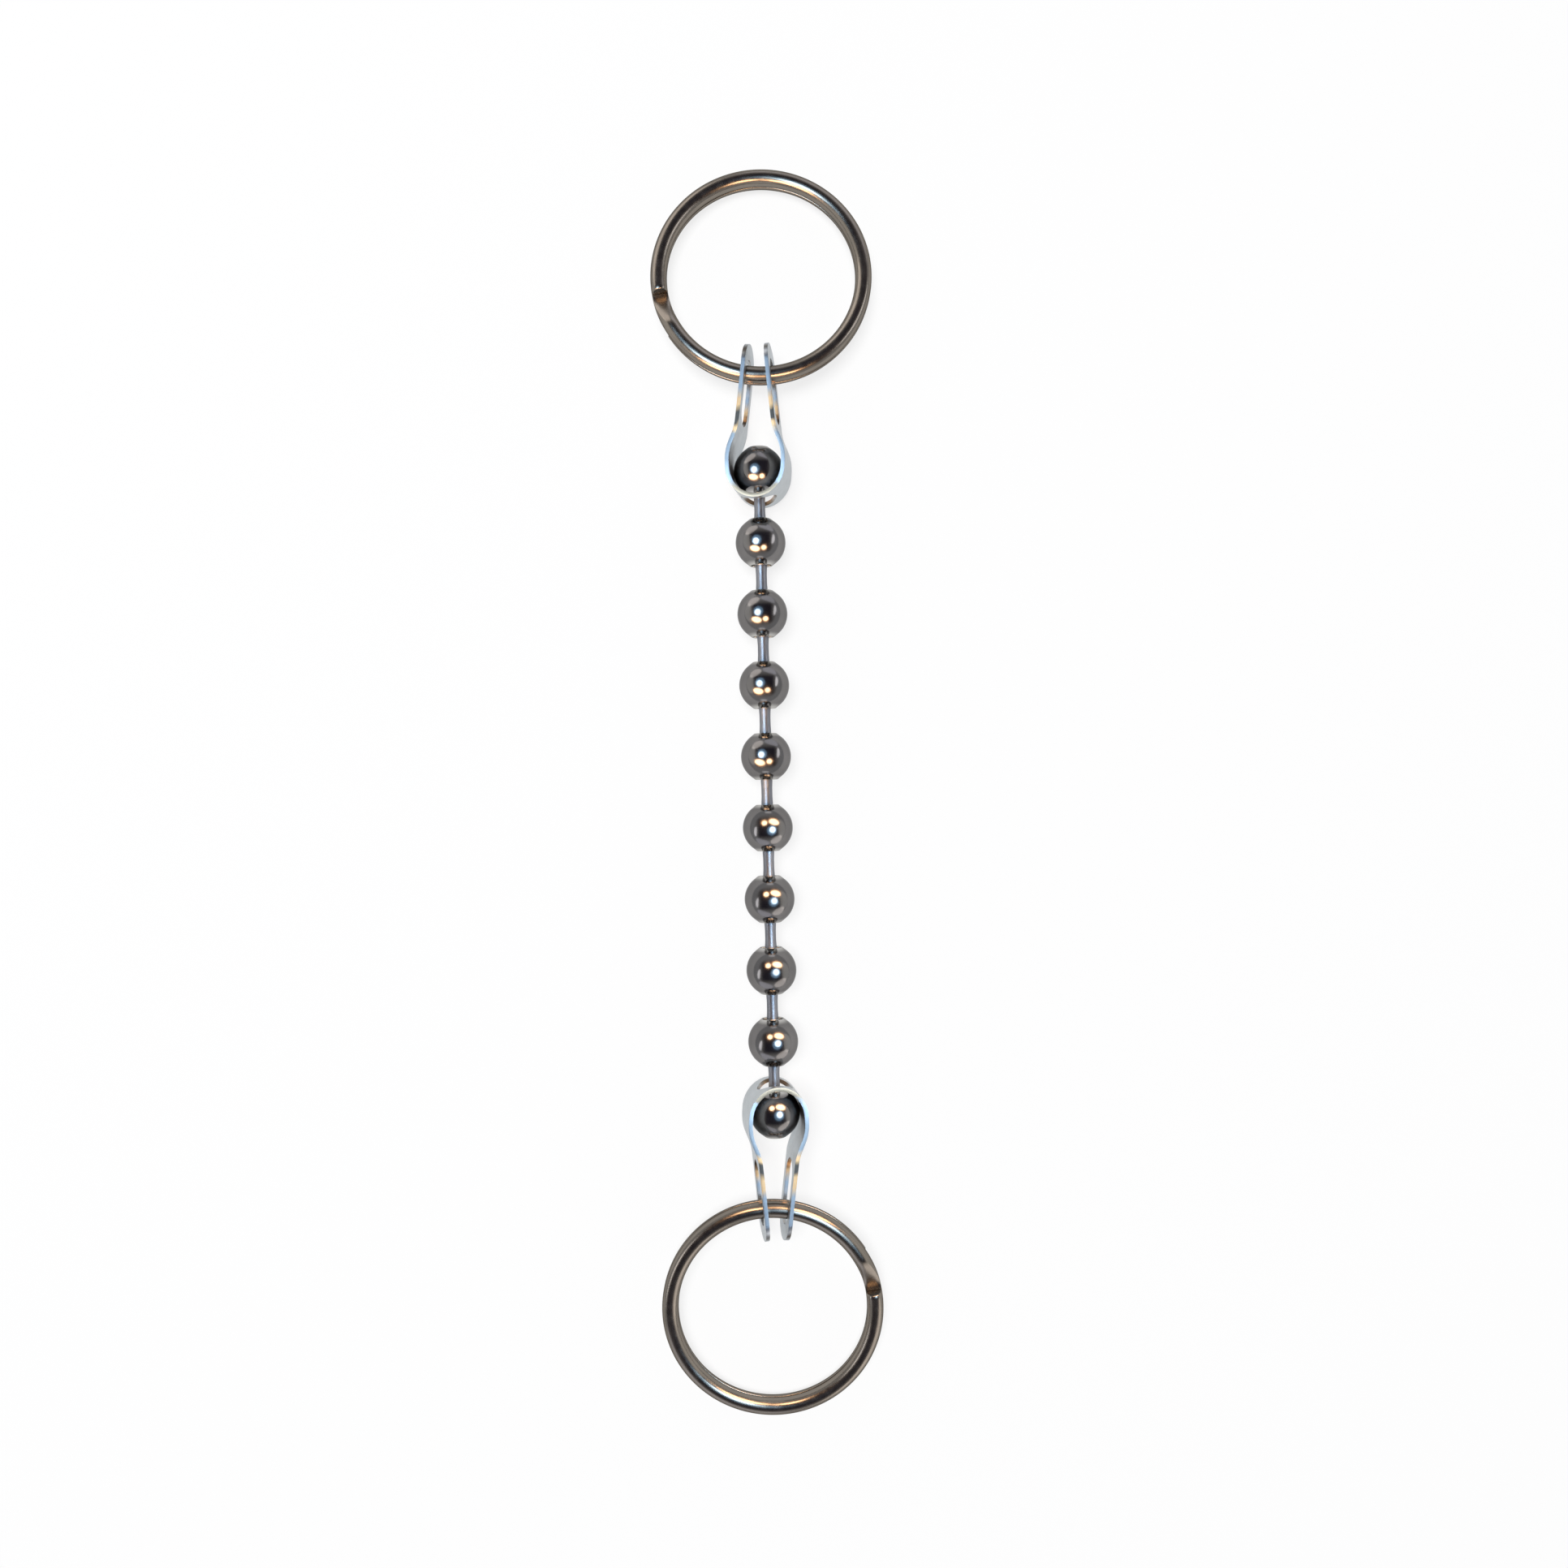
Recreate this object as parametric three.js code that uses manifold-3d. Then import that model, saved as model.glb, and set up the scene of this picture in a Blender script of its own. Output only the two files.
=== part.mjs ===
// Metal ball chain for a roller blind, laid out straight on a table.
//
// Ten hollow balls are strung on nine dumbbell pins. Each end ball sits in a clip that is
// folded from one strip of thin steel, and a two-turn split ring passes through the clip's
// eyes. Millimetres, +Z up, the chain along Y, the origin under the middle of the chain.
// The lower half of the chain is the upper half turned by 180 degrees about Z.

import * as THREE from "three";
import { mergeVertices } from "three/addons/utils/BufferGeometryUtils.js";
import Module from "manifold-3d";

const wasm = await Module();
wasm.setup();

// Driving sizes of the balls
const ballDiameter = 4.5;
const ballWall = 0.3;
const ballCount = 10;
const pitch = 6.41;            // centre to centre, pulled straight
const holeRadius = 0.82;       // hole in the shell, at its inner edge
const lipDrop = 0.13;          // how far the rolled lip stays below a full ball's pole
const lipWidth = 0.2;          // from a pole's mouth to the foot of its lip

// Driving sizes of the pins
const pinDiameter = 1.04;
const headDiameter = 2.0;
const headPlay = 0.08;         // end play of a head in its ball
const seatSwing = 18;          // degrees that a pin tilts in its ball, each way
const mouthClearance = 0.03;   // left between a tilted pin and the lip

// Driving sizes of the split rings
const ringDiameter = 20;
const wireWidth = 1.5;         // across the wire, along the ring's radius
const wireHeight = 0.92;       // one turn, along the ring's axis
const turnGap = 0.04;          // between the two turns
const wireInnerEdge = 0.25;    // corner radii of the wire's section
const wireOuterEdge = 0.36;
const wireEndAngle = 191;      // degrees from +X to the end of the upper turn
const crossoverStart = 193;    // where the wire starts to rise from the lower turn
const crossoverSpan = 20;      // degrees over which it rises
const endGap = 1;              // degrees between the crossover and the lower turn's end
const ringYaw = 1.3;           // degrees that the ring hangs to one side of its clip

// Driving sizes of the clips
const stripThickness = 0.35;
const railWidth = 0.78;        // metal left on each side of an eye
const cupClearance = 0.06;     // between ball and cup
const cupPlay = 0.2;           // extra room between the ball and the cup's bottom
const neckRise = 1.75;         // from the ball's top to the clip's waist
const cupCurve = 2.0;          // how far the cup's sides run straight on before the waist
const waistCurve = 1.6;        // how softly the waist comes in
const waistSpacing = 3.2;      // between the arms' middles at the waist
const tipSpacing = 1.7;        // between the arms' middles at the tips
const armBow = 0.05;           // how far an arm bows inwards between waist and tip
const armLength = 4.5;         // from the waist to the ring's wire
const tipBand = 1.35;          // solid end beyond an eye
const tipRound = 1.9;          // length of the rounded tip
const eyeSetback = 0.06;       // from the waist to an eye's near end
const eyeClearance = 0.05;     // between eye and ring wire, wherever the ring swings
const neckHoleClearance = 0.39;
const clipRoll = 9;            // degrees that a clip lies rolled about the chain
const clipYaw = 1.4;           // degrees that a clip hangs to one side of the chain

// Faceting
const ballFacets = 16;
const pinFacets = 12;
const turnSteps = 42;
const crossoverSteps = 6;

// Sizes that follow from the driving ones
const rad = THREE.MathUtils.degToRad;
const ballRadius = ballDiameter / 2;
const ballInner = ballRadius - ballWall;
const pinRadius = pinDiameter / 2;
const headRadius = headDiameter / 2;
const facetLoss = Math.cos(Math.PI / ballFacets);
const rimHeight = Math.sqrt(ballInner ** 2 - holeRadius ** 2);
const headSeat = Math.sqrt(headRadius ** 2 - holeRadius ** 2);
const seatHeight = rimHeight - headSeat - headPlay;
const lipHeight = ballRadius - lipDrop;
const tiltedPin = pinRadius / Math.cos(rad(seatSwing));
const lipReach = (lipHeight - seatHeight) * Math.tan(rad(seatSwing)) + tiltedPin;
const mouthRadius = (lipReach + mouthClearance) / facetLoss;
const lipFoot = mouthRadius + lipWidth;

const ringMean = (ringDiameter - wireWidth) / 2;
const turnHeight = (wireHeight + turnGap) / 2;
const stackHalf = turnHeight + wireHeight / 2;
const wireReach = cornerReach(wireInnerEdge);

const cupInner = ballRadius + cupClearance;
const cupMiddle = cupInner + stripThickness / 2;
const cupOuter = cupInner + stripThickness;
const cupDepth = cupMiddle + cupPlay;
const cupFoot = cupOuter + cupPlay;
const waistHeight = ballRadius + neckRise;
const eyeHeight = waistHeight + armLength;
const armReach = (waistSpacing + tipSpacing) / 4 + stripThickness / 2;
const rollShift = armReach * Math.sin(rad(clipRoll));
const wireShift = armReach * Math.tan(rad(ringYaw)) + armReach ** 2 / (2 * ringMean);
const eyeHalf = wireReach + Math.hypot(rollShift, wireShift) + eyeClearance;
const tipHeight = eyeHeight + eyeHalf + tipBand;
const stripWidth = 2 * (eyeHalf + railWidth);
const neckReach = (cupFoot - seatHeight) * Math.tan(rad(seatSwing)) + tiltedPin;
const neckHole = neckReach + neckHoleClearance;

const endBallPlace = ((ballCount - 1) * pitch) / 2;

// Furthest point of the two stacked turns from the middle of their section.
function cornerReach(edge) {
  const across = wireWidth / 2 - edge;
  const up = stackHalf - edge;
  return Math.hypot(across, up) + edge;
}

// Materials, one for each mesh
function nickel(colour, roughness) {
  return new THREE.MeshStandardMaterial({ color: colour, roughness, metalness: 1 });
}

// Points on an arc about the origin, as radius and height, angles in degrees from the radius.
function arcPoints(radius, from, to, steps) {
  const points = [];
  for (let i = 0; i <= steps; i += 1) {
    const angle = rad(from + ((to - from) * i) / steps);
    points.push(new THREE.Vector2(radius * Math.cos(angle), radius * Math.sin(angle)));
  }
  return points;
}

// A ball is a shell rolled from strip, open at both poles, with a small raised lip there.
function ballGeometry() {
  const footAngle = THREE.MathUtils.radToDeg(Math.acos(lipFoot / ballRadius));
  const rimAngle = THREE.MathUtils.radToDeg(Math.asin(rimHeight / ballInner));
  const profile = [
    new THREE.Vector2(mouthRadius, -lipHeight),
    ...arcPoints(ballRadius, -footAngle, footAngle, 10),
    new THREE.Vector2(mouthRadius, lipHeight),
    ...arcPoints(ballInner, rimAngle, -rimAngle, 6),
    new THREE.Vector2(mouthRadius, -lipHeight),
  ];
  return new THREE.LatheGeometry(profile, ballFacets);
}

// A pin is a dumbbell: a round shank with a ball-shaped head upset at each end.
function pinGeometry() {
  const headPlace = pitch / 2 - seatHeight;
  const shankAngle = THREE.MathUtils.radToDeg(Math.acos(pinRadius / headRadius));
  const upper = arcPoints(headRadius, -shankAngle, 90, 6);
  upper.forEach((point) => point.setY(point.y + headPlace));
  const lower = upper.map((point) => new THREE.Vector2(point.x, -point.y)).reverse();
  const profile = [...lower, ...upper];
  profile[0].setX(0);
  profile[profile.length - 1].setX(0);
  return new THREE.LatheGeometry(profile, pinFacets);
}

// Section of the ring's wire: rounded all round, softer on the outside of the ring.
function wireSection() {
  const side = wireWidth / 2;
  const top = wireHeight / 2;
  const section = new THREE.Shape();
  section.moveTo(side, top - wireOuterEdge);
  addCorner(section, side - wireOuterEdge, top - wireOuterEdge, wireOuterEdge, 0, 2);
  addCorner(section, wireInnerEdge - side, top - wireInnerEdge, wireInnerEdge, 90, 1);
  addCorner(section, wireInnerEdge - side, wireInnerEdge - top, wireInnerEdge, 180, 1);
  addCorner(section, side - wireOuterEdge, wireOuterEdge - top, wireOuterEdge, 270, 2);
  return section;
}

function addCorner(section, x, y, radius, from, steps) {
  for (let i = 0; i <= steps; i += 1) {
    const angle = rad(from + (90 * i) / steps);
    section.lineTo(x + radius * Math.cos(angle), y + radius * Math.sin(angle));
  }
}

// Angle round the ring at each step along the wire, from the upper end to the lower end.
function windingAngles() {
  const crossing = crossoverStart + 360;
  const risen = crossing + crossoverSpan;
  const start = crossoverStart + crossoverSpan + endGap;
  const end = wireEndAngle + 720;
  const angles = [];
  for (let i = 0; i <= turnSteps; i += 1) {
    angles.push(start + ((crossing - start) * i) / turnSteps);
  }
  for (let i = 1; i <= crossoverSteps; i += 1) {
    angles.push(crossing + (crossoverSpan * i) / crossoverSteps);
  }
  for (let i = 1; i <= turnSteps; i += 1) {
    angles.push(risen + ((end - risen) * i) / turnSteps);
  }
  return angles.reverse();
}

// Height of the wire's middle at an angle: lower turn, crossover, upper turn.
function windingHeight(angle) {
  const along = (angle - crossoverStart - 360) / crossoverSpan;
  return turnHeight * (2 * THREE.MathUtils.smoothstep(along, 0, 1) - 1);
}

// A split ring is straight wire wound up: each slice of the bar goes to its own angle.
function ringGeometry() {
  const angles = windingAngles();
  const steps = angles.length - 1;
  const wire = new THREE.ExtrudeGeometry(wireSection(), { depth: steps, steps, bevelEnabled: false });
  const place = wire.getAttribute("position");
  for (let i = 0; i < place.count; i += 1) {
    const angle = angles[Math.round(place.getZ(i))];
    const radius = ringMean + place.getX(i);
    const height = windingHeight(angle) + place.getY(i);
    place.setXYZ(i, radius * Math.cos(rad(angle)), radius * Math.sin(rad(angle)), height);
  }
  return wire;
}

// Middle line of the clip's right side, from the bottom of the cup to the tip, in XY.
function armCurves() {
  const cup = new THREE.EllipseCurve(0, 0, cupMiddle, cupDepth, -Math.PI / 2, 0);
  const waist = new THREE.Vector2(waistSpacing / 2, waistHeight);
  const tip = new THREE.Vector2(tipSpacing / 2, tipHeight);
  const bow = waist.clone().lerp(tip, 0.5).add(new THREE.Vector2(-armBow, 0));
  const lead = bow.clone().sub(waist).setLength(waistCurve);
  const shoulder = new THREE.CubicBezierCurve(
    new THREE.Vector2(cupMiddle, 0),
    new THREE.Vector2(cupMiddle + lead.x * -1, cupCurve),
    waist.clone().sub(lead),
    waist,
  );
  const arm = new THREE.QuadraticBezierCurve(waist, bow, tip);
  return [[cup, 6], [shoulder, 8], [arm, 3]];
}

// The right side's outer or inner face: the middle line moved sideways by an offset.
function armFace(offset) {
  const points = [];
  armCurves().forEach(([curve, steps], index) => {
    for (let i = index === 0 ? 0 : 1; i <= steps; i += 1) {
      const point = curve.getPoint(i / steps);
      const tangent = curve.getTangent(i / steps);
      points.push(new THREE.Vector2(point.x + tangent.y * offset, point.y - tangent.x * offset));
    }
  });
  points[0].setX(0);
  return points;
}

function mirrored(points) {
  return points.map((point) => new THREE.Vector2(-point.x, point.y)).reverse();
}

// The folded strip seen along its width: a cup with two arms.
function stripOutline() {
  const outer = armFace(stripThickness / 2);
  const inner = armFace(-stripThickness / 2);
  const across = [...mirrored(outer), ...outer.slice(1)];
  const back = [...mirrored(inner), ...inner.slice(1)].reverse();
  return new THREE.Shape([...across, ...back]);
}

// The strip seen from its side, with a rounded tip. Points are width and height.
function sideOutline() {
  const half = stripWidth / 2;
  const below = -2 * cupFoot;
  const shape = new THREE.Shape();
  shape.moveTo(-half, below);
  shape.lineTo(half, below);
  shape.absellipse(0, tipHeight - tipRound, half, tipRound, 0, Math.PI, false);
  return shape;
}

// An eye: a long slot with round ends, which the ring's wire passes through.
function eyeOutline() {
  const nearEnd = waistHeight + eyeSetback + eyeHalf;
  const shape = new THREE.Shape();
  shape.absarc(0, eyeHeight, eyeHalf, 0, Math.PI, false);
  shape.absarc(0, nearEnd, eyeHalf, Math.PI, 2 * Math.PI, false);
  return shape;
}

function toSolid(geometry) {
  geometry.deleteAttribute("normal");
  geometry.deleteAttribute("uv");
  const merged = mergeVertices(geometry, 1e-4);
  return new wasm.Manifold(new wasm.Mesh({
    numProp: 3,
    vertProperties: new Float32Array(merged.getAttribute("position").array),
    triVerts: new Uint32Array(merged.getIndex().array),
  }));
}

function toGeometry(solid) {
  const mesh = solid.getMesh();
  const geometry = new THREE.BufferGeometry();
  geometry.setAttribute("position", new THREE.BufferAttribute(mesh.vertProperties, 3));
  geometry.setIndex(new THREE.BufferAttribute(mesh.triVerts, 1));
  geometry.computeVertexNormals();
  return geometry;
}

// A bar through both arms along X, with an outline given as width and height.
function crossBar(outline, curveSegments) {
  const length = 4 * cupOuter;
  const bar = new THREE.ExtrudeGeometry(outline, { depth: length, bevelEnabled: false, curveSegments });
  bar.translate(0, 0, -length / 2);
  bar.rotateY(-Math.PI / 2);
  return toSolid(bar);
}

// A clip is one strip folded into a cup, with two eyes and a hole for the chain's neck.
function clipGeometry() {
  const strip = new THREE.ExtrudeGeometry(stripOutline(), { depth: stripWidth, bevelEnabled: false });
  strip.translate(0, 0, -stripWidth / 2);
  const neckCut = new THREE.CylinderGeometry(neckHole, neckHole, cupFoot, ballFacets);
  neckCut.translate(0, -cupFoot, 0);
  const clip = toSolid(strip)
    .intersect(crossBar(sideOutline(), 10))
    .subtract(crossBar(eyeOutline(), 8))
    .subtract(toSolid(neckCut));
  return toGeometry(clip);
}

// Height of the middle of a clip that lies rolled, with its lower long edge on the table.
function lyingHeight(clip) {
  const rolled = clip.clone().rotateY(-rad(clipRoll));
  rolled.computeBoundingBox();
  return -rolled.boundingBox.min.z;
}

// Tilt of a ring whose wire is held at a height, with its far side on the table.
function lyingTilt(height) {
  const foot = 2 * ringMean + wireWidth / 2 - wireOuterEdge;
  return Math.asin(height / Math.hypot(foot, stackHalf)) - Math.atan2(stackHalf, foot);
}

// One end of the chain: a ring in its clip, placed about the end ball's centre.
function endFitting(side, clip, ring) {
  const clipHeight = lyingHeight(clip);
  const clipMesh = new THREE.Mesh(clip, nickel(0xc8ccd0, 0.18));
  clipMesh.name = `${side}_clip`;
  clipMesh.position.z = clipHeight;
  clipMesh.rotation.y = -rad(clipRoll);

  const ringMesh = new THREE.Mesh(ring, nickel(0x9a928a, 0.16));
  ringMesh.name = `${side}_split_ring`;
  ringMesh.position.y = ringMean;
  const tilted = new THREE.Group();
  tilted.rotation.x = -lyingTilt(clipHeight);
  tilted.add(ringMesh);
  const turned = new THREE.Group();
  turned.position.set(0, eyeHeight, clipHeight);
  turned.rotation.z = -rad(ringYaw);
  turned.add(tilted);

  const fitting = new THREE.Group();
  fitting.add(clipMesh, turned);
  fitting.rotation.z = -rad(clipYaw);
  fitting.position.y = endBallPlace;
  return fitting;
}

function twoDigits(number) {
  return String(number).padStart(2, "0");
}

// Balls and pins are numbered from the upper end, at +Y.
function ballRow() {
  const row = new THREE.Group();
  const ball = ballGeometry();
  const pin = pinGeometry();
  for (let i = 0; i < ballCount; i += 1) {
    const place = endBallPlace - i * pitch;
    const ballMesh = new THREE.Mesh(ball, nickel(0x8f8c86, 0.12));
    ballMesh.name = `ball_${twoDigits(i + 1)}`;
    ballMesh.position.set(0, place, ballRadius);
    row.add(ballMesh);
    if (i < ballCount - 1) {
      const pinMesh = new THREE.Mesh(pin, nickel(0x7d838c, 0.25));
      pinMesh.name = `pin_${twoDigits(i + 1)}`;
      pinMesh.position.set(0, place - pitch / 2, ballRadius);
      row.add(pinMesh);
    }
  }
  return row;
}

const chain = new THREE.Group();
const clip = clipGeometry();
const ring = ringGeometry();
const lowerEnd = new THREE.Group();
lowerEnd.rotation.z = Math.PI;
lowerEnd.add(endFitting("lower", clip, ring));
chain.add(ballRow(), endFitting("upper", clip, ring), lowerEnd);

export default chain;
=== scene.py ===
import math

import bmesh
import bpy
from mathutils import Matrix, Vector


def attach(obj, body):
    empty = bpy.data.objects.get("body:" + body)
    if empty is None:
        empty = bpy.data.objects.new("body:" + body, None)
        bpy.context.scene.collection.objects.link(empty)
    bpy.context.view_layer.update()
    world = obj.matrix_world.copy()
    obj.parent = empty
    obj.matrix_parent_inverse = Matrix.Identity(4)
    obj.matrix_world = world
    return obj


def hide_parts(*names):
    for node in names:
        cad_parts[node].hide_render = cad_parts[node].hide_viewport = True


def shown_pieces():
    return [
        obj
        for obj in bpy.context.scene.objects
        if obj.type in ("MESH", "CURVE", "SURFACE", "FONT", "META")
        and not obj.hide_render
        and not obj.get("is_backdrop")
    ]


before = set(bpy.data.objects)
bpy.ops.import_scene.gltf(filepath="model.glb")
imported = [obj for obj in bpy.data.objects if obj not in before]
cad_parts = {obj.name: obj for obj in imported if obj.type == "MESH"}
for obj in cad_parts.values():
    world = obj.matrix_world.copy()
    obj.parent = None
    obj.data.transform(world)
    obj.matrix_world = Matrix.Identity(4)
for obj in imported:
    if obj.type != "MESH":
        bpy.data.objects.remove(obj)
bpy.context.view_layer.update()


# The view. The chain lies straight on a table and is seen from above, quite close, so
# that the rings at its ends are seen at a slant.

eye_height = 0.10925
lean = math.radians(-1.45)

eye = bpy.data.cameras.new("close_up_eye")
eye.lens = 27.3
eye.sensor_width = 36.0
eye.clip_start = 0.005
eye.shift_x = 0.0109
eye.shift_y = 0.0052
eye_stand = bpy.data.objects.new("close_up_eye", eye)
eye_stand.location = (0.0, 0.0, eye_height)
eye_stand.rotation_euler = (0.0, 0.0, lean)
bpy.context.scene.collection.objects.link(eye_stand)
bpy.context.scene.camera = eye_stand
bpy.context.scene.view_settings.view_transform = "Standard"


# The table. A plain white table top. It looks white, also as the metal mirrors it, and
# the chain's own soft shadow stays on it.

table_white = (0.16, 0.16, 0.16, 1.0)
table_glow = 0.80
table_reach = 2.5
table_drop = 0.00002

table_finish = bpy.data.materials.new("white_table_top")
table_finish.use_nodes = True
nodes, wires = table_finish.node_tree.nodes, table_finish.node_tree.links
nodes.clear()
surface = nodes.new("ShaderNodeOutputMaterial")
matt = nodes.new("ShaderNodeBsdfDiffuse")
matt.inputs["Color"].default_value = table_white
glow = nodes.new("ShaderNodeEmission")
both = nodes.new("ShaderNodeAddShader")
ray = nodes.new("ShaderNodeLightPath")
seen = nodes.new("ShaderNodeMath")
seen.operation = "ADD"
seen_through = nodes.new("ShaderNodeMath")
seen_through.operation = "ADD"
seen_through.use_clamp = True
strength = nodes.new("ShaderNodeMath")
strength.operation = "MULTIPLY"
strength.inputs[1].default_value = table_glow
wires.new(ray.outputs["Is Camera Ray"], seen.inputs[0])
wires.new(ray.outputs["Is Glossy Ray"], seen.inputs[1])
wires.new(seen.outputs[0], seen_through.inputs[0])
wires.new(ray.outputs["Is Transmission Ray"], seen_through.inputs[1])
wires.new(seen_through.outputs[0], strength.inputs[0])
wires.new(strength.outputs[0], glow.inputs["Strength"])
wires.new(matt.outputs[0], both.inputs[0])
wires.new(glow.outputs[0], both.inputs[1])
wires.new(both.outputs[0], surface.inputs["Surface"])

table_mesh = bpy.data.meshes.new("table_top")
table_mesh.from_pydata(
    [(x * table_reach, y * table_reach, -table_drop) for x, y in ((-1, -1), (1, -1), (1, 1), (-1, 1))],
    [],
    [(0, 1, 2, 3)],
)
table_mesh.materials.append(table_finish)
table_top = bpy.data.objects.new("table_top", table_mesh)
bpy.context.scene.collection.objects.link(table_top)
table_top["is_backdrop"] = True


# The room. An evenly grey room round the table. It is dark straight above, where
# whoever looks down stands in the way. Places in it are given as a polished ball on
# the table shows them: across and along from its middle, with its outline at 1.

room_low = (0.55, 0.56, 0.58)
room_high = (0.50, 0.49, 0.48)
wall_fade = (0.25, 0.75)
overhead_fade = (0.35, 0.50)
room_patches = [
    # half size, softness, colour
    ((0.47, 0.45), 0.18, (0.26, 0.25, 0.25)),
    ((0.37, 0.35), 0.14, (0.050, 0.045, 0.062)),
]

room = bpy.data.worlds.new("grey_room")
bpy.context.scene.world = room
room.use_nodes = True
nodes, wires = room.node_tree.nodes, room.node_tree.links
nodes.clear()


def work(operation, first, second=None):
    """One sum in the tree that is being made. Its values are numbers or sockets."""
    node = nodes.new("ShaderNodeMath")
    node.operation = operation
    for place, value in enumerate((first, second)):
        if value is None:
            continue
        if isinstance(value, (int, float)):
            node.inputs[place].default_value = value
        else:
            wires.new(value, node.inputs[place])
    return node.outputs[0]


def fade(value, start, end):
    """1 below start and 0 above end, with a soft change between."""
    node = nodes.new("ShaderNodeMapRange")
    node.interpolation_type = "SMOOTHSTEP"
    node.inputs["From Min"].default_value = start
    node.inputs["From Max"].default_value = end
    node.inputs["To Min"].default_value = 1.0
    node.inputs["To Max"].default_value = 0.0
    wires.new(value, node.inputs["Value"])
    return node.outputs["Result"]


# Sockets of a colour mix: the colour below, the colour above and the result.
mix_below, mix_above, mix_result = 6, 7, 2


def lay_over(below, share, colour):
    """A colour laid over another by a share between 0 and 1."""
    node = nodes.new("ShaderNodeMix")
    node.data_type = "RGBA"
    wires.new(share, node.inputs["Factor"])
    wires.new(below, node.inputs[mix_below])
    node.inputs[mix_above].default_value = (*colour, 1.0)
    return node.outputs[mix_result]


direction = nodes.new("ShaderNodeTexCoord").outputs["Generated"]
split = nodes.new("ShaderNodeSeparateXYZ")
wires.new(direction, split.inputs[0])
doubled = work("MULTIPLY", work("ADD", split.outputs["Z"], 1.0), 2.0)
stretch = work("SQRT", work("MAXIMUM", doubled, 0.01))
across = work("DIVIDE", split.outputs["X"], stretch)
along = work("DIVIDE", split.outputs["Y"], stretch)
height = nodes.new("ShaderNodeRGB")
height.outputs[0].default_value = (*room_high, 1.0)
colour = lay_over(height.outputs[0], fade(split.outputs["Z"], *wall_fade), room_low)
overhead = work("SUBTRACT", 1.0, fade(split.outputs["Z"], *overhead_fade))
for (half_x, half_y), softness, patch in room_patches:
    off_x = work("ABSOLUTE", across)
    off_y = work("ABSOLUTE", along)
    inside = work(
        "MULTIPLY",
        fade(off_x, half_x - softness / 2, half_x + softness / 2),
        fade(off_y, half_y - softness / 2, half_y + softness / 2),
    )
    colour = lay_over(colour, work("MULTIPLY", inside, overhead), patch)
background = nodes.new("ShaderNodeBackground")
wires.new(colour, background.inputs["Color"])
surface = nodes.new("ShaderNodeOutputWorld")
wires.new(background.outputs[0], surface.inputs["Surface"])


# The balls. Ten hollow balls, rolled from thin steel strip and nickel plated. Each is
# open at both poles, where the edge of the hole is turned up into a small lip.

ball_radius = 2.25
ball_inside = 1.95
hole_radius = 0.82
ball_count = 10
pitch = 6.41
first_ball = (ball_count - 1) * pitch / 2
ball_shade = (0.182, 0.175, 0.173)
# Pale shade painted round the balls' mouths and on the pin heads, as painted bounced light.
painted_bounce_shade = (0.52, 0.51, 0.49)

# The plate is painted paler round a mouth, a painted reflection of light bounced into it:
# not at the first distance from the ball's axis, and fully at the second.
bounce_paint_start, bounce_paint_full = 1.50, 1.00
millimetre = 0.001


def arc(radius, start, end, steps, middle=(0.0, 0.0)):
    """Points on an arc, as distance from the axis and height. Angles in degrees."""
    points = []
    for step in range(steps + 1):
        angle = math.radians(start + (end - start) * step / steps)
        points.append((middle[0] + radius * math.cos(angle), middle[1] + radius * math.sin(angle)))
    return points


def turned(name, profile, facets, closed):
    """A mesh turned about the chain's line from a profile. Millimetres."""
    shape = bmesh.new()
    rings = []
    for radius, height in profile:
        count = 1 if radius < 1e-6 else facets
        rings.append([
            shape.verts.new((
                radius * math.cos(2 * math.pi * turn / facets),
                height,
                radius * math.sin(2 * math.pi * turn / facets),
            ))
            for turn in range(count)
        ])
    pairs = list(zip(rings, rings[1:]))
    if closed:
        pairs.append((rings[-1], rings[0]))
    for low, high in pairs:
        for turn in range(facets):
            onward = (turn + 1) % facets
            corners = [
                low[turn % len(low)],
                low[onward % len(low)],
                high[onward % len(high)],
                high[turn % len(high)],
            ]
            shape.faces.new(list(dict.fromkeys(corners)))
    bmesh.ops.recalc_face_normals(shape, faces=shape.faces)
    mesh = bpy.data.meshes.new(name)
    shape.to_mesh(mesh)
    shape.free()
    mesh.polygons.foreach_set("use_smooth", [True] * len(mesh.polygons))
    return mesh


# Grain of the plate, in waves to the metre, and the depth of its pits in metres.
cloud_grain, wiping_grain, pit_grain = 420.0, 1500.0, 3200.0
pit_depth = 0.00002


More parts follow.
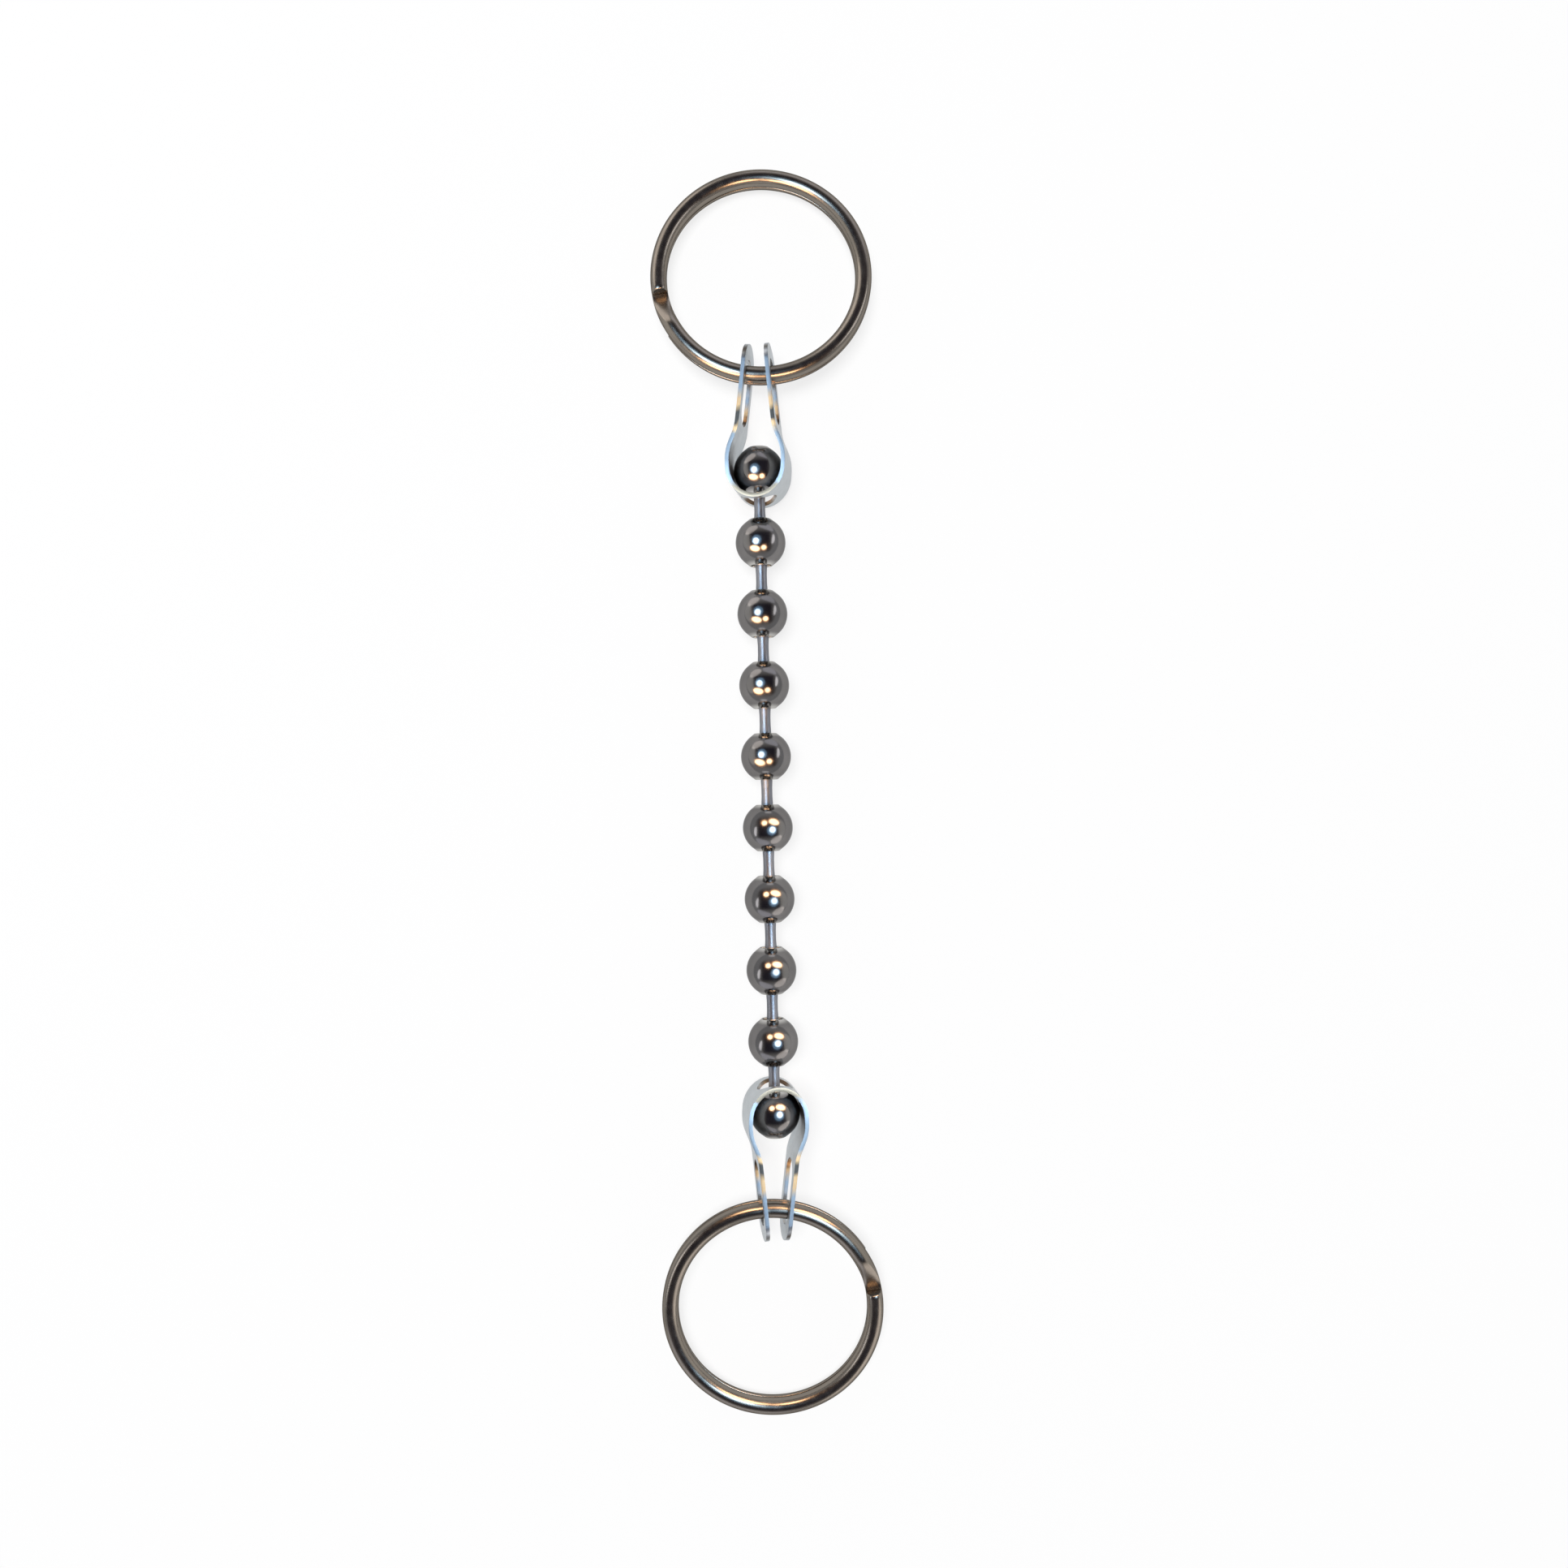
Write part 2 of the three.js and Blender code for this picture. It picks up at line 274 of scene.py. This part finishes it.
def plated(name, shade, roughness, worn, pitting, rim):
    """Nickel plate over steel: faint clouding, fine wiping marks and a few tiny pits."""
    finish = bpy.data.materials.new(name)
    finish.use_nodes = True
    nodes, wires = finish.node_tree.nodes, finish.node_tree.links
    plate = nodes["Principled BSDF"]
    plate.inputs["Metallic"].default_value = 1.0
    plate.inputs["Specular Tint"].default_value = (rim, rim, rim, 1.0)
    place = nodes.new("ShaderNodeTexCoord")
    cloud = nodes.new("ShaderNodeTexNoise")
    cloud.inputs["Scale"].default_value = cloud_grain
    cloud.inputs["Detail"].default_value = 4.0
    wires.new(place.outputs["Object"], cloud.inputs["Vector"])
    tint = nodes.new("ShaderNodeValToRGB")
    tint.color_ramp.elements[0].position = 0.3
    tint.color_ramp.elements[0].color = (*[value * (1 - worn) for value in shade], 1.0)
    tint.color_ramp.elements[1].position = 0.7
    tint.color_ramp.elements[1].color = (*[min(1.0, value * (1 + worn)) for value in shade], 1.0)
    wires.new(cloud.outputs["Fac"], tint.inputs["Fac"])
    wires.new(tint.outputs["Color"], plate.inputs["Base Color"])
    wiping = nodes.new("ShaderNodeTexNoise")
    wiping.inputs["Scale"].default_value = wiping_grain
    wiping.inputs["Detail"].default_value = 5.0
    wires.new(place.outputs["Object"], wiping.inputs["Vector"])
    dulled = nodes.new("ShaderNodeMapRange")
    dulled.inputs["From Min"].default_value = 0.3
    dulled.inputs["From Max"].default_value = 0.7
    dulled.inputs["To Min"].default_value = roughness * 0.85
    dulled.inputs["To Max"].default_value = roughness * 1.2
    wires.new(wiping.outputs["Fac"], dulled.inputs["Value"])
    wires.new(dulled.outputs["Result"], plate.inputs["Roughness"])
    pits = nodes.new("ShaderNodeTexNoise")
    pits.inputs["Scale"].default_value = pit_grain
    pits.inputs["Detail"].default_value = 3.0
    wires.new(place.outputs["Object"], pits.inputs["Vector"])
    uneven = nodes.new("ShaderNodeBump")
    uneven.inputs["Strength"].default_value = pitting
    uneven.inputs["Distance"].default_value = pit_depth
    wires.new(pits.outputs["Fac"], uneven.inputs["Height"])
    wires.new(uneven.outputs["Normal"], plate.inputs["Normal"])
    return finish


def paint_bounce_light(finish, distance, start, full):
    """Plate painted paler, as painted bounced light, as a distance in its tree runs from start to full.
    Millimetres.
    """
    nodes, wires = finish.node_tree.nodes, finish.node_tree.links
    base = nodes["Principled BSDF"].inputs["Base Color"]
    share = nodes.new("ShaderNodeMapRange")
    share.interpolation_type = "SMOOTHSTEP"
    share.inputs["From Min"].default_value = start * millimetre
    share.inputs["From Max"].default_value = full * millimetre
    wires.new(distance, share.inputs["Value"])
    tone = nodes.new("ShaderNodeMix")
    tone.data_type = "RGBA"
    wires.new(share.outputs["Result"], tone.inputs["Factor"])
    wires.new(base.links[0].from_socket, tone.inputs[mix_below])
    tone.inputs[mix_above].default_value = (*painted_bounce_shade, 1.0)
    wires.new(tone.outputs[mix_result], base)


def paint_mouth_bounce_light(finish):
    """The balls are painted paler round their mouths, where the pins work in them, as painted bounced
    light.
    """
    nodes, wires = finish.node_tree.nodes, finish.node_tree.links
    across = nodes.new("ShaderNodeVectorMath")
    across.operation = "MULTIPLY_ADD"
    across.inputs[1].default_value = (1.0, 0.0, 1.0)
    across.inputs[2].default_value = (0.0, 0.0, -ball_radius * millimetre)
    wires.new(nodes.new("ShaderNodeTexCoord").outputs["Object"], across.inputs[0])
    reach = nodes.new("ShaderNodeVectorMath")
    reach.operation = "LENGTH"
    wires.new(across.outputs["Vector"], reach.inputs[0])
    paint_bounce_light(finish, reach.outputs["Value"], bounce_paint_start, bounce_paint_full)


def set_down(name, mesh, place, finish):
    """A piece put in its place in the chain, from millimetres to metres."""
    mesh = mesh.copy()
    mesh.name = name
    mesh.transform(Matrix.Scale(millimetre, 4) @ place)
    mesh.materials.clear()
    mesh.materials.append(finish)
    piece = bpy.data.objects.new(name, mesh)
    bpy.context.scene.collection.objects.link(piece)
    return piece


# From this angle the ball runs on straight to the rounded lip of its mouth.
flank_angle = 51.46
lip_round = 0.06
lip_middle = (0.9804, 2.0195)
lip = arc(lip_round, flank_angle, 180.0, 8, lip_middle)
hole_angle = math.degrees(math.acos(hole_radius / ball_inside))
upper_outside = arc(ball_radius, 0.0, flank_angle, 14) + lip
upper_inside = arc(ball_inside, hole_angle, 0.0, 8)
upper_half = upper_outside + upper_inside
lower_half = [(radius, -height) for radius, height in reversed(upper_half)]
ball_profile = upper_half[:-1] + lower_half[:-1]
ball_mesh = turned("rolled_ball", ball_profile, 56, closed=True)
ball_plate = plated("polished_ball_nickel", ball_shade, roughness=0.155, worn=0.10, pitting=0.04, rim=0.60)
paint_mouth_bounce_light(ball_plate)

for number in range(1, ball_count + 1):
    name = f"ball_{number:02d}"
    spot = Matrix.Translation((0.0, first_ball - (number - 1) * pitch, ball_radius))
    ball = set_down(f"rolled_{name}", ball_mesh, spot, ball_plate)
    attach(ball, name)
    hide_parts(name)


# The pins. Nine pins of nickel-plated wire. A round head is upset on each end, inside
# its ball, and only the shank between two balls is seen.

pin_radius = 0.52
pin_waist = 0.49
head_radius = 1.0
seat_height = 1.11685
pin_shade = (0.23, 0.24, 0.265)

# The pins are painted paler from this far along their shanks, measured from the middle, as painted bounced
# light.
shank_bounce_paint_start, shank_bounce_paint_full = 1.10, 1.30


def paint_head_bounce_light(finish):
    """The pins are painted paler on their heads and on the ends of their shanks, as painted bounced light.
    """
    nodes, wires = finish.node_tree.nodes, finish.node_tree.links
    spot = nodes.new("ShaderNodeSeparateXYZ")
    wires.new(nodes.new("ShaderNodeTexCoord").outputs["Object"], spot.inputs[0])
    along = nodes.new("ShaderNodeMath")
    along.operation = "PINGPONG"
    along.inputs[1].default_value = pitch / 2 * millimetre
    wires.new(spot.outputs["Y"], along.inputs[0])
    paint_bounce_light(finish, along.outputs[0], shank_bounce_paint_start, shank_bounce_paint_full)


head_place = pitch / 2 - seat_height
root_angle = -math.degrees(math.acos(0.60 / head_radius))
head = arc(head_radius, 90.0, root_angle, 12, (0.0, head_place))
root = head_place + head_radius * math.sin(math.radians(root_angle))
shank = [
    (0.555, root - 0.035),
    (0.530, root - 0.09),
    (pin_radius, root - 0.17),
    (pin_radius, 0.95),
    (0.505, 0.70),
    (pin_waist, 0.40),
    (pin_waist, 0.0),
]
pin_half = [(0.0, head_place + head_radius)] + head[1:] + shank
pin_profile = pin_half + [(radius, -height) for radius, height in reversed(pin_half[:-1])]
pin_mesh = turned("headed_pin", pin_profile, 32, closed=False)
pin_plate = plated("drawn_pin_nickel", pin_shade, roughness=0.40, worn=0.08, pitting=0.03, rim=0.50)
paint_head_bounce_light(pin_plate)

for number in range(1, ball_count):
    name = f"pin_{number:02d}"
    spot = Matrix.Translation((0.0, first_ball - (number - 0.5) * pitch, ball_radius))
    pin = set_down(f"headed_{name}", pin_mesh, spot, pin_plate)
    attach(pin, name)
    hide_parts(name)


# The clips. Each end ball sits in a clip: one strip of thin bright steel, punched with
# two eyes and a neck hole, and folded round the ball into a cup with two arms.
# It lies on its long edges, rolled a little about the chain.

strip_thickness = 0.35
strip_half = 2.190
cup_middle = 2.485
cup_depth = 2.685
shoulder_reach = 2.0
waist = Vector((1.6, 4.0))
arm_bow = Vector((1.175, 7.6304))
arm_tip = Vector((0.85, 11.2608))
waist_lead = 1.6
tip_round = 1.9
eye_half = 1.4108
eye_place = 8.5
eye_near = 5.4708
neck_hole = 1.5031
clip_height = 2.58355
clip_roll = math.radians(-9.0)
clip_yaw = math.radians(-1.4)
clip_shade = (0.50, 0.54, 0.565)
edge_shade = (0.45, 0.49, 0.53)
painted_grey_reflection_shade = (0.34, 0.36, 0.38)
painted_dark_reflection_shade = (0.12, 0.105, 0.09)
painted_glint_shade = (1.0, 0.60, 0.30)
painted_cream_glint_shade = (0.33, 0.25, 0.175)
# Painted reflections along the cut edges: straw and cream are painted glints, dull and grey painted dark
# reflections.
painted_edge_reflections = [
    # millimetres from the chain's middle, with the waver's 1 mm in them, and shade
    (27.1, painted_cream_glint_shade),
    (27.9, painted_cream_glint_shade),
    (28.4, edge_shade),
    (29.8, edge_shade),
    (30.6, painted_grey_reflection_shade),
    (32.7, painted_grey_reflection_shade),
    (33.1, painted_glint_shade),
    (33.3, painted_glint_shade),
    (33.7, painted_dark_reflection_shade),
    (34.5, painted_dark_reflection_shade),
    (35.1, painted_glint_shade),
    (35.7, painted_glint_shade),
    (36.6, edge_shade),
    (39.4, edge_shade),
    (40.2, painted_dark_reflection_shade),
    (41.6, painted_dark_reflection_shade),
]
edge_waver = 0.002
waver_grain = 450.0
edge_roughness = 0.34
edge_facing = (0.45, 0.80)
edge_break = 0.16


def arm_line():
    """Middle line of the strip from the bottom of the cup to the tip, with fine steps."""
    lead = (arm_bow - waist).normalized() * waist_lead
    swell = Vector((cup_middle - lead.x, shoulder_reach))
    line = []
    for step in range(61):
        angle = math.radians(90 * step / 60)
        line.append(Vector((cup_middle * math.sin(angle), -cup_depth * math.cos(angle))))
    for step in range(1, 61):
        t = step / 60
        line.append(
            Vector((cup_middle, 0.0)) * (1 - t) ** 3
            + swell * 3 * t * (1 - t) ** 2
            + (waist - lead) * 3 * t ** 2 * (1 - t)
            + waist * t ** 3
        )
    for step in range(1, 61):
        t = step / 60
        line.append(waist * (1 - t) ** 2 + arm_bow * 2 * t * (1 - t) + arm_tip * t ** 2)
    return line


def arm_stations():
    """Heights or places along the strip where its edges need a row of points."""
    hole = [("x", neck_hole * math.sin(math.radians(angle))) for angle in range(0, 91, 9)]
    cup = [("turn", angle) for angle in range(40, 91, 6)]
    shoulder = [("y", 0.25 + 0.24 * step) for step in range(16)]
    near = [
        ("y", eye_near - eye_half * math.cos(math.radians(angle)))
        for angle in range(0, 91, 9)
    ]
    middle = [("y", eye_near + (eye_place - eye_near) * step / 5) for step in range(1, 5)]
    far = [
        ("y", eye_place + eye_half * math.sin(math.radians(angle)))
        for angle in range(0, 91, 9)
    ]
    rounding = [
        ("y", arm_tip.y - tip_round * (1 - math.sin(math.radians(angle))))
        for angle in range(15, 91, 5)
    ]
    return hole, cup, shoulder + near + middle + far + rounding


def strip_rows():
    """Rows of the right half: place, and half widths of the opening and of the strip."""
    line = arm_line()
    hole, cup, arm = arm_stations()
    rows = []
    for _, x in hole:
        y = -cup_depth * math.sqrt(1 - (x / cup_middle) ** 2)
        rows.append((Vector((x, y)), math.sqrt(max(0.0, neck_hole ** 2 - x ** 2)), strip_half))
    for _, turn in cup:
        angle = math.radians(turn)
        place = Vector((cup_middle * math.sin(angle), -cup_depth * math.cos(angle)))
        rows.append((place, 0.0, strip_half))
    for _, y in sorted(arm):
        after = next(
            index for index, point in enumerate(line) if point.y >= y - 1e-7 and point.x > 0.5
        )
        low, high = line[after - 1], line[after]
        share = (y - low.y) / (high.y - low.y)
        place = low.lerp(high, share)
        opening = 0.0
        if eye_near - eye_half <= y < eye_near:
            opening = math.sqrt(max(0.0, eye_half ** 2 - (y - eye_near) ** 2))
        elif eye_near <= y <= eye_place:
            opening = eye_half
        elif eye_place < y <= eye_place + eye_half:
            opening = math.sqrt(max(0.0, eye_half ** 2 - (y - eye_place) ** 2))
        rise = max(0.0, (y - arm_tip.y + tip_round) / tip_round)
        rows.append((place, opening, strip_half * math.sqrt(max(0.0, 1 - rise ** 2))))
    return rows


def folded_strip():
    """The whole strip: its middle face, thickened, with its sheared edges broken."""
    right = strip_rows()
    left = [(Vector((-place.x, place.y)), opening, half) for place, opening, half in right[1:]]
    rows = left[::-1] + right
    columns = 6
    shape = bmesh.new()
    for side in (-1, 1):
        grid = []
        for place, opening, half in rows:
            opening = min(opening, half)
            grid.append([
                shape.verts.new((place.x, place.y, side * (opening + (half - opening) * step / columns)))
                for step in range(columns + 1)
            ])
        for low, high in zip(grid, grid[1:]):
            for step in range(columns):
                shape.faces.new((low[step], low[step + 1], high[step + 1], high[step]))
    bmesh.ops.remove_doubles(shape, verts=shape.verts, dist=0.0005)
    bmesh.ops.dissolve_degenerate(shape, edges=shape.edges, dist=0.0005)
    bmesh.ops.recalc_face_normals(shape, faces=shape.faces)
    mesh = bpy.data.meshes.new("folded_strip")
    shape.to_mesh(mesh)
    shape.free()
    blank = bpy.data.objects.new("folded_strip", mesh)
    bpy.context.scene.collection.objects.link(blank)
    thick = blank.modifiers.new("thickness", "SOLIDIFY")
    thick.thickness = strip_thickness
    thick.offset = 0.0
    thick.use_even_offset = True
    broken = blank.modifiers.new("broken_edges", "BEVEL")
    broken.width = edge_break
    broken.segments = 5
    broken.limit_method = "ANGLE"
    broken.angle_limit = math.radians(50)
    graph = bpy.context.evaluated_depsgraph_get()
    done = bpy.data.meshes.new_from_object(blank.evaluated_get(graph))
    bpy.data.objects.remove(blank)
    done.polygons.foreach_set("use_smooth", [True] * len(done.polygons))
    return done


def sheared_edges(finish):
    """The strip's cut edges are rougher than its faces, with painted glints and painted dark reflections
    along them.
    """
    nodes, wires = finish.node_tree.nodes, finish.node_tree.links
    plate = nodes["Principled BSDF"]
    place = nodes.new("ShaderNodeTexCoord")
    facing = nodes.new("ShaderNodeSeparateXYZ")
    wires.new(place.outputs["Normal"], facing.inputs[0])
    upright = nodes.new("ShaderNodeMath")
    upright.operation = "ABSOLUTE"
    wires.new(facing.outputs["Z"], upright.inputs[0])
    share = nodes.new("ShaderNodeMapRange")
    share.inputs["From Min"].default_value, share.inputs["From Max"].default_value = edge_facing
    wires.new(upright.outputs[0], share.inputs["Value"])
    spot = nodes.new("ShaderNodeSeparateXYZ")
    wires.new(place.outputs["Object"], spot.inputs[0])
    out = nodes.new("ShaderNodeMath")
    out.operation = "ABSOLUTE"
    wires.new(spot.outputs["Y"], out.inputs[0])
    waver = nodes.new("ShaderNodeTexNoise")
    waver.inputs["Scale"].default_value = waver_grain
    wires.new(place.outputs["Object"], waver.inputs["Vector"])
    shifted = nodes.new("ShaderNodeMath")
    shifted.operation = "MULTIPLY_ADD"
    shifted.inputs[1].default_value = edge_waver
    wires.new(waver.outputs["Fac"], shifted.inputs[0])
    wires.new(out.outputs[0], shifted.inputs[2])
    length = nodes.new("ShaderNodeMapRange")
    length.inputs["From Min"].default_value = painted_edge_reflections[0][0] * millimetre
    length.inputs["From Max"].default_value = painted_edge_reflections[-1][0] * millimetre
    wires.new(shifted.outputs[0], length.inputs["Value"])
    # This ramp paints glints and dark reflections along the cut edges.
    painted_reflection_ramp = nodes.new("ShaderNodeValToRGB")
    ends = painted_reflection_ramp.color_ramp.elements
    nearest, furthest = painted_edge_reflections[0], painted_edge_reflections[-1]
    ends[0].color = (*nearest[1], 1.0)
    ends[1].color = (*furthest[1], 1.0)
    for along, shade in painted_edge_reflections[1:-1]:
        stop = ends.new((along - nearest[0]) / (furthest[0] - nearest[0]))
        stop.color = (*shade, 1.0)
    wires.new(length.outputs["Result"], painted_reflection_ramp.inputs["Fac"])
    tone = nodes.new("ShaderNodeMix")
    tone.data_type = "RGBA"
    wires.new(share.outputs["Result"], tone.inputs["Factor"])
    wires.new(plate.inputs["Base Color"].links[0].from_socket, tone.inputs[mix_below])
    wires.new(painted_reflection_ramp.outputs["Color"], tone.inputs[mix_above])
    wires.new(tone.outputs[mix_result], plate.inputs["Base Color"])
    grain = nodes.new("ShaderNodeMix")
    wires.new(share.outputs["Result"], grain.inputs["Factor"])
    wires.new(plate.inputs["Roughness"].links[0].from_socket, grain.inputs[2])
    grain.inputs[3].default_value = edge_roughness
    wires.new(grain.outputs[0], plate.inputs["Roughness"])


clip_mesh = folded_strip()
clip_plate = plated("bright_clip_nickel", clip_shade, roughness=0.36, worn=0.04, pitting=0.01, rim=0.85)
sheared_edges(clip_plate)
end_spot = Matrix.Translation((0.0, first_ball, clip_height)) @ Matrix.Rotation(clip_yaw, 4, "Z")
clip_spot = end_spot @ Matrix.Rotation(clip_roll, 4, "Y")
half_turn = Matrix.Rotation(math.pi, 4, "Z")

for side, spot in (("upper", clip_spot), ("lower", half_turn @ clip_spot)):
    clip = set_down(f"folded_{side}_clip", clip_mesh, spot, clip_plate)
    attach(clip, f"{side}_clip")
    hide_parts(f"{side}_clip")


# The rings. A split ring hangs in each clip's eyes. It is two turns of flattened spring
# wire, wound as one piece, hardened and nickel plated. Its wire rises from
# the lower turn to the upper one right beside the upper end.

ring_mean = 9.25
wire_half_width = 0.735
wire_half_height = 0.46
crown_drop = 0.28
turn_height = 0.48
upper_end = 191.0
crossover_start = 193.0
crossover_span = 20.0
lower_end = 214.0
end_bevel = 0.5
end_taper = 0.86
turn_steps = 180
crossover_steps = 24
section_steps = 36
ring_tilt = math.radians(-5.002)
ring_yaw = math.radians(-1.3)
ring_shade = (0.225, 0.20, 0.172)


def wire_section(lifted):
    """Section of the half-round wire. Its crown faces down at 0 and up at 1."""
    points = []
    for step in range(section_steps):
        angle = 2 * math.pi * step / section_steps
        c, s = math.cos(angle), math.sin(angle)
        crown = (wire_half_width * c, (wire_half_height + crown_drop) * abs(s) - crown_drop)
        square = (
            wire_half_width * math.copysign(abs(c) ** 0.3, c),
            crown_drop + (wire_half_height - crown_drop) * abs(s) ** 0.3,
        )
        above, below = (crown, square) if s >= 0 else (square, crown)
        side = 1 if s >= 0 else -1
        points.append((
            lifted * above[0] + (1 - lifted) * below[0],
            side * (lifted * above[1] + (1 - lifted) * below[1]),
        ))
    return points


def wound_ring():
    """The wire wound up, from its lower end to its upper end."""
    crossing = crossover_start + 360
    risen = crossing + crossover_span
    last = upper_end + 720
    start = lower_end + end_bevel
    run = crossing - lower_end - end_bevel
    climb = last - end_bevel - risen
    stops = [(lower_end, end_taper), (start, 1.0)]
    stops += [(start + run * step / turn_steps, 1.0) for step in range(1, turn_steps + 1)]
    stops += [
        (crossing + crossover_span * step / crossover_steps, 1.0)
        for step in range(1, crossover_steps + 1)
    ]
    stops += [(risen + climb * step / turn_steps, 1.0) for step in range(1, turn_steps + 1)]
    stops += [(last, end_taper)]
    shape = bmesh.new()
    loops = []
    for angle, size in stops:
        along = min(1.0, max(0.0, (angle - crossing) / crossover_span))
        lifted = along * along * (3 - 2 * along)
        rise = turn_height * (2 * lifted - 1)
        turn = math.radians(angle)
        loop = []
        for width, height in wire_section(lifted):
            radius = ring_mean + width * size
            corner = (radius * math.cos(turn), radius * math.sin(turn), rise + height * size)
            loop.append(shape.verts.new(corner))
        loops.append(loop)
    count = len(loops[0])
    for low, high in zip(loops, loops[1:]):
        for step in range(count):
            onward = (step + 1) % count
            shape.faces.new((low[step], low[onward], high[onward], high[step]))
    shape.faces.new(loops[0])
    shape.faces.new(loops[-1])
    bmesh.ops.recalc_face_normals(shape, faces=shape.faces)
    mesh = bpy.data.meshes.new("wound_ring")
    shape.to_mesh(mesh)
    shape.free()
    mesh.polygons.foreach_set("use_smooth", [len(face.vertices) == 4 for face in mesh.polygons])
    return mesh


ring_mesh = wound_ring()
ring_plate = plated("split_ring_nickel", ring_shade, roughness=0.23, worn=0.07, pitting=0.01, rim=0.32)
ring_spot = (
    end_spot
    @ Matrix.Translation((0.0, eye_place, 0.0))
    @ Matrix.Rotation(ring_yaw, 4, "Z")
    @ Matrix.Rotation(ring_tilt, 4, "X")
    @ Matrix.Translation((0.0, ring_mean, 0.0))
)

for side, spot in (("upper", ring_spot), ("lower", half_turn @ ring_spot)):
    ring = set_down(f"wound_{side}_split_ring", ring_mesh, spot, ring_plate)
    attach(ring, f"{side}_split_ring")
    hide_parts(f"{side}_split_ring")


# The lamps. A round cool lamp, two warm ones, a pale strip and dim windows. The upper
# and the lower half of the chain each have their own set, and the lower set
# is the upper one turned by half, as in the picture. A wide panel lights the table.

lamp_aim = Vector((0.0, 0.016, 0.002))
panel_size = 0.5
panel_brightness = 13.0
panel_place = (-0.15, 0.12, 0.95)
lamps = [
    # name, place and half sizes in millimetres, brightness, colour
    ("cool_lamp", (-43, 20, 112), (29, 29), 10.0, (0.62, 0.82, 1.0)),
    ("cool_halo", (-38, 28, 116), (48, 50), 1.1, (0.35, 0.65, 1.0)),
    ("left_warm_lamp", (-67, -60, 110), (58, 32), 12.5, (1.0, 0.66, 0.40)),
    ("left_warm_halo", (-67, -66, 111), (72, 44), 1.8, (1.0, 0.48, 0.20)),
    ("right_warm_lamp", (31, -46, 112), (25, 23), 12.5, (1.0, 0.66, 0.40)),
    ("right_warm_halo", (33, -51, 113), (35, 32), 1.8, (1.0, 0.48, 0.20)),
    ("pale_strip", (188, 53, 110), (26, 80), 2.2, (1.0, 1.0, 1.04)),
    ("left_window", (-230, 338, 138), (190, 132), 1.3, (1.0, 0.93, 0.88)),
    ("right_window", (149, 375, 118), (200, 114), 0.6, (0.90, 0.90, 1.05)),
    ("left_wall", (-350, 34, 135), (130, 270), 0.45, (1.0, 0.98, 0.90)),
    ("low_glow", (-20, -375, 82), (85, 44), 1.0, (1.0, 0.98, 1.0)),
]
lit_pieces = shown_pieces()
for side, turn in (("upper", Matrix.Identity(4)), ("lower", half_turn)):
    lit = bpy.data.collections.new(f"{side}_half")
    for piece in lit_pieces:
        middle = sum(corner[1] for corner in piece.bound_box)
        if (middle > -0.001) == (side == "upper"):
            lit.objects.link(piece)
    for name, place, (half_across, half_along), brightness, shade in lamps:
        lamp = bpy.data.lights.new(f"{side}_{name}", "AREA")
        lamp.shape = "ELLIPSE"
        lamp.size = 2 * millimetre * half_across
        lamp.size_y = 2 * millimetre * half_along
        lamp.energy = brightness * math.pi * math.pi * lamp.size * lamp.size_y / 4
        lamp.color = shade
        holder = bpy.data.objects.new(f"{side}_{name}", lamp)
        place = Vector(place) * millimetre
        back = (place - lamp_aim).normalized()
        across = (Vector((1.0, 0.0, 0.0)) - back * back.x).normalized()
        facing = Matrix((across, back.cross(across), back)).transposed()
        holder.matrix_world = turn @ Matrix.Translation(place) @ facing.to_4x4()
        holder.light_linking.receiver_collection = lit
        holder.visible_camera = False
        bpy.context.scene.collection.objects.link(holder)

panel = bpy.data.lights.new("table_panel", "AREA")
panel.shape = "SQUARE"
panel.size = panel_size
panel.energy = panel_brightness * math.pi * panel_size ** 2
panel_holder = bpy.data.objects.new("table_panel", panel)
panel_holder.location = panel_place
panel_holder.rotation_euler = panel_holder.location.to_track_quat("Z", "Y").to_euler()
under = bpy.data.collections.new("under_the_panel")
under.objects.link(table_top)
panel_holder.light_linking.receiver_collection = under
panel_holder.visible_camera = False
bpy.context.scene.collection.objects.link(panel_holder)


bpy.context.view_layer.update()
